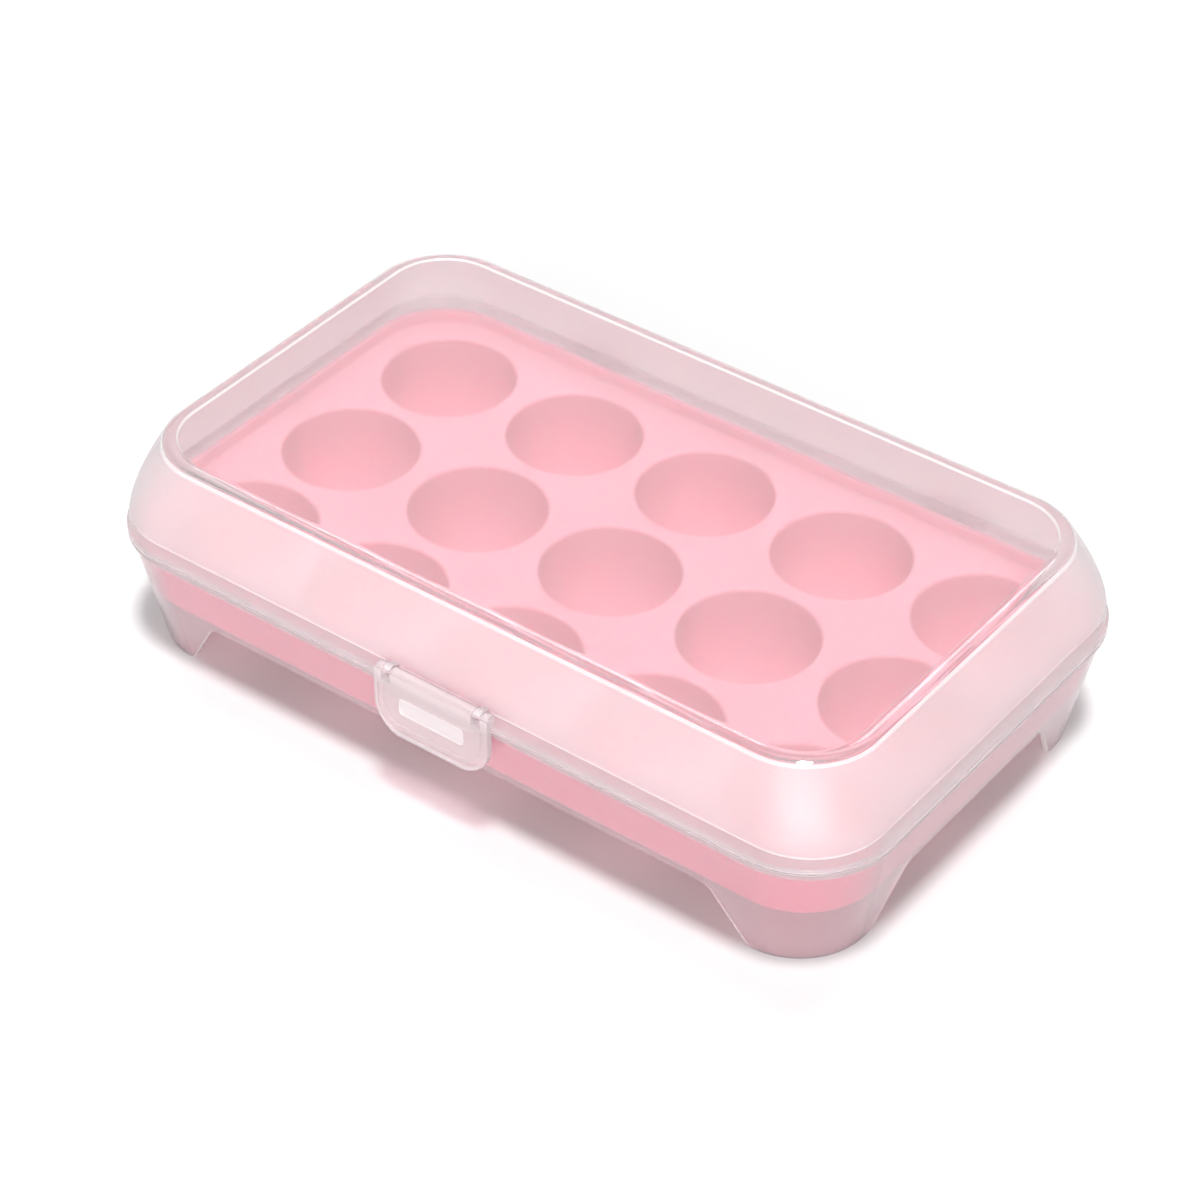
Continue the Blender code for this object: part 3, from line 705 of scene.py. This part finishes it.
latch = prism("snap_latch", latch_side(), "X", -LATCH_HALF - OVERRUN, LATCH_HALF + OVERRUN)
front = prism("front", latch_front(0, 0), "Y", PLATE_FRONT - OVERRUN, PLATE_BACK + OVERRUN)
combine(latch, "INTERSECT", front)
report(latch)

# %% [markdown]
# The relief on the latch is only a few tenths of a millimetre high, but it is what the eye reads in the
# picture: a groove round three sides, a fine ridge left standing beside it, and a hollow for the fingertip.
# All are cut from the front. A cutter that passes above the top of another leaves its shape open there. The
# hollow's faces get the edges' finish, which is paler, a painted highlight in the hollow.

# %% Latch relief
GROOVE_FROM = 1.1 * MM
RIDGE_FROM = 2.4 * MM
RIDGE_TO = 3.1 * MM
RELIEF_TOP = 4.4 * MM
GROOVE_DEPTH = 0.35 * MM
FIELD_DEPTH = 0.25 * MM
HOLLOW_DEPTH = 0.8 * MM
HOLLOW_SIDE = 8.0 * MM
HOLLOW_LOW = 6.9 * MM
HOLLOW_TOP = 6.7 * MM
HOLLOW_CORNER = 1.2 * MM
HOLLOW_STEPS = 6


def plate_cut(name, outline, depth):
    """A cutter from in front of the plate to the given depth behind its front."""
    return prism(name, outline, "Y", PLATE_FRONT - OVERRUN, PLATE_FRONT + depth)


def hollow_outline():
    side = LATCH_HALF - HOLLOW_SIDE - HOLLOW_CORNER
    low = LATCH_BOTTOM + HOLLOW_LOW
    high = LATCH_TOP - HOLLOW_TOP
    right = arc((side, low + HOLLOW_CORNER), HOLLOW_CORNER, -pi / 2, 0, HOLLOW_STEPS)
    right += arc((side, high - HOLLOW_CORNER), HOLLOW_CORNER, 0, pi / 2, HOLLOW_STEPS)
    return [*right, *[(-u, v) for u, v in reversed(right)]]


groove = plate_cut("groove", latch_front(GROOVE_FROM, RELIEF_TOP), GROOVE_DEPTH)
combine(groove, "DIFFERENCE", plate_cut("core", latch_front(RIDGE_FROM, -OVERRUN), OVERRUN))
field = plate_cut("field", latch_front(RIDGE_TO, RELIEF_TOP), FIELD_DEPTH)
hollow = plate_cut("hollow", hollow_outline(), HOLLOW_DEPTH)
mark_faces(latch, MAIN_FINISH)
# The hollow's pale finish is a painted highlight.
mark_faces(hollow, EDGE_FINISH)
combine(latch, "DIFFERENCE", groove, field, hollow)
report(latch)

# %% [markdown]
# Along its top the latch thickens into a barrel. Two notches make room for the lid's lugs and leave the thin
# pin that they hold. Behind the plate a small tooth reaches under the base's flange and keeps the box shut.

# %% Latch barrel, pin and tooth
BARREL_INSET = 0.3 * MM
TOOTH_HEIGHT = 1.4 * MM
PIN_INSET = 1.35 * MM
LATCH_SOFTENING = 0.12 * MM

barrel_half = LATCH_HALF - BARREL_INSET
combine(latch, "UNION", rod("barrel", PIVOT.y, PIVOT.z, BARREL_RADIUS, -barrel_half, barrel_half))
tooth_top = FLANGE_UNDER - PARTING
tooth_tip = MIDDLE_Y - RIM_Y - PARTING
tooth_root = PLATE_BACK - LATCH_PLATE / 2
tooth_outline = [
    (tooth_root, tooth_top),
    (tooth_tip, tooth_top),
    (tooth_tip, tooth_top - TOOTH_HEIGHT / 2),
    (tooth_root, tooth_top - TOOTH_HEIGHT),
]
combine(latch, "UNION", prism("tooth", tooth_outline, "X", LUG_WIDTH - LUG_X, LUG_X - LUG_WIDTH))
for side in (-1, 1):
    half = LUG_WIDTH / 2 + SIDE_CLEARANCE
    notch_low = (side * LUG_X - half, PLATE_FRONT - OVERRUN, PIVOT.z - LUG_OUTSIDE - PARTING)
    notch_high = (side * LUG_X + half, PLATE_BACK + BARREL_RADIUS + OVERRUN, LATCH_TOP + OVERRUN)
    combine(latch, "DIFFERENCE", block("notch", notch_low, notch_high))
pin_half = LATCH_HALF - PIN_INSET
combine(latch, "UNION", rod("pin", PIVOT.y, PIVOT.z, PIN_RADIUS, -pin_half, pin_half))
soften(latch, LATCH_SOFTENING)

# %% [markdown]
# Two effects are shared by several plastics, so they are node groups. The first is the fine unevenness of a
# moulded surface: broad flow marks and a faint grain. The second frosts a piece between two heights only,
# because a mould can be left matt for the walls and polished for the rims.

# %% Shared node groups
FLOAT = "NodeSocketFloat"
VECTOR = "NodeSocketVector"
FLOW_WEIGHT = 0.6


def new_group(name, inputs, outputs):
    tree = bpy.data.node_groups.new(name, "ShaderNodeTree")
    for label, kind in inputs:
        tree.interface.new_socket(label, in_out="INPUT", socket_type=kind)
    for label, kind in outputs:
        tree.interface.new_socket(label, in_out="OUTPUT", socket_type=kind)
    return tree, tree.nodes.new("NodeGroupInput"), tree.nodes.new("NodeGroupOutput")


def add_node(tree, kind, inputs=None, **settings):
    """A node with its settings. An input is given a plain value or the output that feeds it."""
    node = tree.nodes.new("ShaderNode" + kind)
    for key, value in settings.items():
        setattr(node, key, value)
    for key, value in (inputs or {}).items():
        if isinstance(value, bpy.types.NodeSocket):
            tree.links.new(value, node.inputs[key])
        else:
            node.inputs[key].default_value = value
    return node


def calculate(tree, operation, *values):
    """The result of a Math node."""
    return add_node(tree, "Math", dict(enumerate(values)), operation=operation).outputs[0]


moulding, given, result = new_group(
    "moulded_surface",
    [("Place", VECTOR), ("Flow Size", FLOAT), ("Grain Size", FLOAT)],
    [("Flow", FLOAT), ("Grain", FLOAT), ("Height", FLOAT)],
)
place = given.outputs["Place"]
flow_scale = calculate(moulding, "DIVIDE", 1.0, given.outputs["Flow Size"])
grain_scale = calculate(moulding, "DIVIDE", 1.0, given.outputs["Grain Size"])
flow_detail = {"Detail": 3.0, "Distortion": 0.8}
flow = add_node(moulding, "TexNoise", {"Vector": place, "Scale": flow_scale, **flow_detail}).outputs["Fac"]
grain = add_node(moulding, "TexNoise", {"Vector": place, "Scale": grain_scale, "Detail": 2.0}).outputs["Fac"]
height = calculate(moulding, "MULTIPLY_ADD", flow, FLOW_WEIGHT, grain)
for label, value in (("Flow", flow), ("Grain", grain), ("Height", height)):
    moulding.links.new(value, result.inputs[label])

polish, given, result = new_group(
    "polish_by_height",
    [
        ("Place", VECTOR),
        ("Start", FLOAT),
        ("End", FLOAT),
        ("Blend", FLOAT),
        ("Frosted", FLOAT),
        ("Polished", FLOAT),
    ],
    [("Roughness", FLOAT)],
)
up = add_node(polish, "SeparateXYZ", {0: given.outputs["Place"]}).outputs["Z"]
above_start = calculate(polish, "SUBTRACT", up, given.outputs["Start"])
below_end = calculate(polish, "SUBTRACT", given.outputs["End"], up)
inside_band = calculate(polish, "MINIMUM", above_start, below_end)
ramp = add_node(
    polish,
    "MapRange",
    {
        "Value": inside_band,
        "From Max": given.outputs["Blend"],
        "To Min": given.outputs["Polished"],
        "To Max": given.outputs["Frosted"],
    },
)
polish.links.new(ramp.outputs["Result"], result.inputs["Roughness"])
print("groups", [group.name for group in bpy.data.node_groups])

# %% [markdown]
# The clear pieces are one kind of plastic, thin and slightly milky. Principled glass gives the sharp edges
# and the blur behind frosted walls. Rays from the lamps are let through tinted, as light is by thin plastic,
# and not as a solid would cast them, so the tray inside is lit as in the picture.

# %% Milky plastic
PLASTIC_IOR = 1.49
CLOUD_SHADE = 0.985
POLISH_BLEND = 0.8 * MM
NOISE_RANGE = {"From Min": 0.3, "From Max": 0.7}


def linear(red, green, blue):
    """A colour as it is picked from a picture, 0 to 255, turned into the renderer's linear values."""
    return tuple(((c / 255 + 0.055) / 1.055) ** 2.4 for c in (red, green, blue)) + (1.0,)


def moulded_plastic(name, flow_size, grain_size, relief, strength):
    """A material with the fine unevenness of a moulding, and what further nodes of it connect to."""
    material = bpy.data.materials.new(name)
    material.use_nodes = True
    tree = material.node_tree
    shader = tree.nodes["Principled BSDF"]
    shader.inputs["IOR"].default_value = PLASTIC_IOR
    place = add_node(tree, "TexCoord").outputs["Object"]
    sizes = {"Place": place, "Flow Size": flow_size, "Grain Size": grain_size}
    surface = add_node(tree, "Group", sizes, node_tree=moulding)
    bumps = {"Height": surface.outputs["Height"], "Distance": relief, "Strength": strength}
    tree.links.new(add_node(tree, "Bump", bumps).outputs["Normal"], shader.inputs["Normal"])
    return material, shader, place, surface


def milky_plastic(name, colour, glass, tint, start, end, frosted, polished):
    """Frosted between the heights start and end, polished outside them. Lamp light passes with the tint."""
    material, shader, place, surface = moulded_plastic(
        name, flow_size=60.0 * MM, grain_size=0.9 * MM, relief=0.02 * MM, strength=0.15
    )
    tree = material.node_tree
    heights = {"Place": place, "Start": start, "End": end, "Blend": POLISH_BLEND}
    finishes = {"Frosted": frosted, "Polished": polished}
    gloss = add_node(tree, "Group", {**heights, **finishes}, node_tree=polish)
    flow = surface.outputs["Flow"]
    uneven = add_node(tree, "MapRange", {"Value": flow, **NOISE_RANGE, "To Min": 0.85, "To Max": 1.15})
    roughness = calculate(tree, "MULTIPLY", gloss.outputs["Roughness"], uneven.outputs["Result"])
    tree.links.new(roughness, shader.inputs["Roughness"])
    shade = tuple(c * CLOUD_SHADE for c in colour[:3]) + (1.0,)
    cloud = add_node(tree, "Mix", {"Factor": flow, "A": colour, "B": shade}, data_type="RGBA")
    tree.links.new(cloud.outputs["Result"], shader.inputs["Base Color"])
    shader.inputs["Transmission Weight"].default_value = glass
    through = add_node(tree, "BsdfTransparent", {"Color": tint})
    path = add_node(tree, "LightPath")
    mixed = add_node(
        tree,
        "MixShader",
        {0: path.outputs["Is Shadow Ray"], 1: shader.outputs["BSDF"], 2: through.outputs["BSDF"]},
    )
    tree.links.new(mixed.outputs["Shader"], tree.nodes["Material Output"].inputs["Surface"])
    print(name, "lets", glass, "through, roughness", frosted, "frosted and", polished, "polished")
    return material


# %% [markdown]
# Six finishes come from that one recipe. The lid's panel is smooth and its wall milky, while the base lets
# more light through but is frosted. The rims, where two pieces meet, are painted a little darker, a painted
# shade. The edges' finish holds back the most light, which makes it pale. It is a painted highlight: it
# stands for light that leaves the plastic along an edge.

# %% Finishes of the clear pieces
CLEAR_TINT = linear(205, 203, 205)
ROSE_TINT = linear(252, 230, 235)
LATCH_TINT = linear(228, 212, 217)
PALE = linear(248, 243, 244)
# The rims' colour is a painted shade, darker than the rest of the clear plastic.
RIM_PAINTED_SHADE_COLOUR = linear(230, 219, 221)
BASE_COLOUR = linear(248, 236, 240)
LATCH_COLOUR = linear(242, 235, 236)
BELOW_ALL = -OVERRUN
ABOVE_ALL = LID_TOP + OVERRUN

lid_look = milky_plastic(
    "lid_plastic",
    PALE,
    glass=0.88,
    tint=CLEAR_TINT,
    start=LEDGE_TOP,
    end=PANEL_UNDER,
    frosted=0.06,
    polished=0.06,
)
wall_look = milky_plastic(
    "lid_wall_plastic",
    PALE,
    glass=0.69,
    tint=CLEAR_TINT,
    start=LEDGE_TOP,
    end=SHOULDER,
    frosted=0.33,
    polished=0.10,
)
# The rims' finish is the same plastic painted a little darker, a painted shade.
rim_painted_shade_look = milky_plastic(
    "rim_painted_shade_plastic",
    RIM_PAINTED_SHADE_COLOUR,
    glass=0.68,
    tint=CLEAR_TINT,
    start=BELOW_ALL,
    end=LEDGE_TOP,
    frosted=0.23,
    polished=0.16,
)
# A painted highlight: this pale finish stands for light that leaves the plastic along an edge.
painted_highlight_look = milky_plastic(
    "painted_highlight_plastic",
    PALE,
    glass=0.34,
    tint=CLEAR_TINT,
    start=BELOW_ALL,
    end=ABOVE_ALL,
    frosted=0.16,
    polished=0.16,
)
base_look = milky_plastic(
    "base_plastic",
    BASE_COLOUR,
    glass=0.92,
    tint=ROSE_TINT,
    start=BELOW_ALL,
    end=FLANGE_UNDER,
    frosted=0.20,
    polished=0.10,
)
latch_look = milky_plastic(
    "latch_plastic",
    LATCH_COLOUR,
    glass=0.66,
    tint=LATCH_TINT,
    start=LATCH_BOTTOM - OVERRUN,
    end=LATCH_TOP,
    frosted=0.22,
    polished=0.14,
)

# %% [markdown]
# The tray is the same kind of plastic with pigment, and its surface is matt. Light goes a little way into it,
# which subsurface scattering gives: edges look lighter and the cups' walls glow softly.

# %% Pink plastic
PINK = linear(242, 174, 186)
DEEPER_PINK = linear(237, 166, 179)

tray_look, shader, _, surface = moulded_plastic(
    "tray_plastic", flow_size=35.0 * MM, grain_size=0.7 * MM, relief=0.03 * MM, strength=0.3
)
tree = tray_look.node_tree
pigment = {"Factor": surface.outputs["Flow"], "A": PINK, "B": DEEPER_PINK}
colour = add_node(tree, "Mix", pigment, data_type="RGBA")
tree.links.new(colour.outputs["Result"], shader.inputs["Base Color"])
matt = {"Value": surface.outputs["Grain"], **NOISE_RANGE, "To Min": 0.56, "To Max": 0.68}
tree.links.new(add_node(tree, "MapRange", matt).outputs["Result"], shader.inputs["Roughness"])
shader.inputs["Specular IOR Level"].default_value = 0.25
shader.inputs["Subsurface Weight"].default_value = 0.6
shader.inputs["Subsurface Radius"].default_value = (1.0, 0.45, 0.5)
shader.inputs["Subsurface Scale"].default_value = 3.0 * MM
print("finishes", [material.name for material in bpy.data.materials])

# %% [markdown]
# Now each piece gets its two finishes, rides on the body that carries it, and stands for the construction's
# node.

# %% Finishes and bodies
for piece, look, edge, body, node in (
    (base, base_look, painted_highlight_look, "base", "base"),
    (tray, tray_look, tray_look, "base", "tray"),
    (lid, lid_look, painted_highlight_look, "lid", "lid"),
    (latch, latch_look, painted_highlight_look, "latch", "latch"),
):
    piece.data.materials[MAIN_FINISH] = look
    piece.data.materials[EDGE_FINISH] = edge
    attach(piece, body)
    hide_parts(node)
    print(piece.name, "rides on", body)

# %% [markdown]
# One moulding can be milky on its wall and clear on its panel, so some faces get another finish by their
# height. Others get one as painted light. On the base these are the rim, painted darker as shade, and the
# soles of the feet, which get the edges' pale finish as a painted highlight. On the lid they are the rim,
# painted darker as shade, the milky wall, and in the edges' pale finish, as painted highlights, the line
# above the ledge, the shoulder's edge and the bead's slope. The top keeps the main finish.

# %% Finishes by height
BELOW_FLANGE = 0.4 * MM
SOLE_HEIGHT = 0.2 * MM
MARGIN = 0.05 * MM


def add_finish(piece, look):
    """Adds a finish to a piece and gives its number."""
    piece.data.materials.append(look)
    return len(piece.data.materials) - 1


def refinish(piece, low, high, finish):
    """Gives the main faces whose middle lies between two heights another of the piece's finishes."""
    changed = 0
    for face in piece.data.polygons:
        if face.material_index == MAIN_FINISH and low < face.center.z < high:
            face.material_index = finish
            changed += 1
    print(piece.name, changed, "faces in", piece.data.materials[finish].name)


lid_wall_finish = add_finish(lid, wall_look)
lid_rim_shade_finish = add_finish(lid, rim_painted_shade_look)
base_rim_shade_finish = add_finish(base, rim_painted_shade_look)
# The base's rim is painted darker as shade. Its soles get the pale edges' finish, a painted highlight.
refinish(base, FLANGE_UNDER - BELOW_FLANGE, RIM_TOP + OVERRUN, base_rim_shade_finish)
refinish(base, BELOW_ALL, SOLE_HEIGHT, EDGE_FINISH)
# The lid's rim is painted darker as shade. The line, the shoulder's edge and the bead's slope get painted
# highlights.
refinish(lid, BELOW_ALL, LEDGE_TOP, lid_rim_shade_finish)
refinish(lid, LEDGE_TOP, LEDGE_TOP + PAINTED_LINE_WIDTH, EDGE_FINISH)
refinish(lid, LEDGE_TOP, SHOULDER - ROUNDING, lid_wall_finish)
refinish(lid, PANEL_UNDER + MARGIN, SHOULDER, EDGE_FINISH)
refinish(lid, PANEL_TOP + MARGIN, LID_TOP - MARGIN, EDGE_FINISH)

# %% [markdown]
# The picture is a cut-out on white with a soft shadow. A pale floor takes the shadow. It glows very faintly
# where it is seen directly, so the unshaded part reads as white without more light on the object.

# %% Floor
FLOOR_SIZE = 8.0
FLOOR_GLOW = 0.03
BEFORE_FIRST_BOUNCE = 0.5
WHITE = (1.0, 1.0, 1.0, 1.0)


def seen_directly(tree):
    """1 for the camera, and for what gloss and glass show it. 0 for light that a matt surface gathers."""
    path = add_node(tree, "LightPath").outputs
    seen = calculate(tree, "MAXIMUM", path["Is Camera Ray"], path["Is Glossy Ray"])
    seen = calculate(tree, "MAXIMUM", seen, path["Is Transmission Ray"])
    direct = calculate(tree, "LESS_THAN", path["Diffuse Depth"], BEFORE_FIRST_BOUNCE)
    return calculate(tree, "MULTIPLY", seen, direct)


bpy.ops.object.select_all(action="DESELECT")
bpy.ops.mesh.primitive_plane_add(size=FLOOR_SIZE, location=(0, 0, 0))
floor = bpy.context.object
floor.name = "floor"
floor_look = bpy.data.materials.new("pale_floor")
floor_look.use_nodes = True
tree = floor_look.node_tree
shader = tree.nodes["Principled BSDF"]
shader.inputs["Base Color"].default_value = (0.95, 0.95, 0.95, 1.0)
shader.inputs["Roughness"].default_value = 0.9
shader.inputs["Specular IOR Level"].default_value = 0.0
shader.inputs["Emission Color"].default_value = WHITE
glow = calculate(tree, "MULTIPLY", seen_directly(tree), FLOOR_GLOW)
tree.links.new(glow, shader.inputs["Emission Strength"])
floor.data.materials.append(floor_look)
print("floor", FLOOR_SIZE, "m wide")

# %% [markdown]
# The surround is white where it is seen and gives only a weak, even light. A soft lamp overhead makes the
# shadow close under the box, and a very wide one in front, near the floor, brightens the walls. An edge
# shines where it mirrors a lamp to the camera: a small lamp high behind the box does so for the short sides,
# one to the left for the long sides. No lamp is seen through the clear walls.

# %% Lights
SURROUND_LIGHT = 0.18
SURROUND_SEEN = 1.0

world = bpy.data.worlds.new("studio")
bpy.context.scene.world = world
world.use_nodes = True
tree = world.node_tree
background = tree.nodes["Background"]
levels = {"Value": seen_directly(tree), "To Min": SURROUND_LIGHT, "To Max": SURROUND_SEEN}
strength = add_node(tree, "MapRange", levels)
tree.links.new(strength.outputs["Result"], background.inputs["Strength"])
background.inputs["Color"].default_value = WHITE

for name, energy, angle, towards in (
    ("overhead lamp", 2.0, 10, (0.14, -0.14, 1.0)),
    ("front lamp", 3.2, 60, (0.50, -0.80, 0.06)),
    ("back lamp", 0.35, 14, (0.0, 0.62, 0.78)),
    ("left lamp", 0.35, 14, (-0.47, 0.20, 0.86)),
):
    lamp_data = bpy.data.lights.new(name, "SUN")
    lamp_data.energy = energy
    lamp_data.angle = radians(angle)
    lamp = bpy.data.objects.new(name, lamp_data)
    bpy.context.scene.collection.objects.link(lamp)
    lamp.rotation_euler = Vector(towards).to_track_quat("Z", "Y").to_euler()
    lamp.visible_transmission = False
    print(name, energy, "strong,", angle, "degrees wide")

bpy.context.scene.view_settings.view_transform = "Standard"
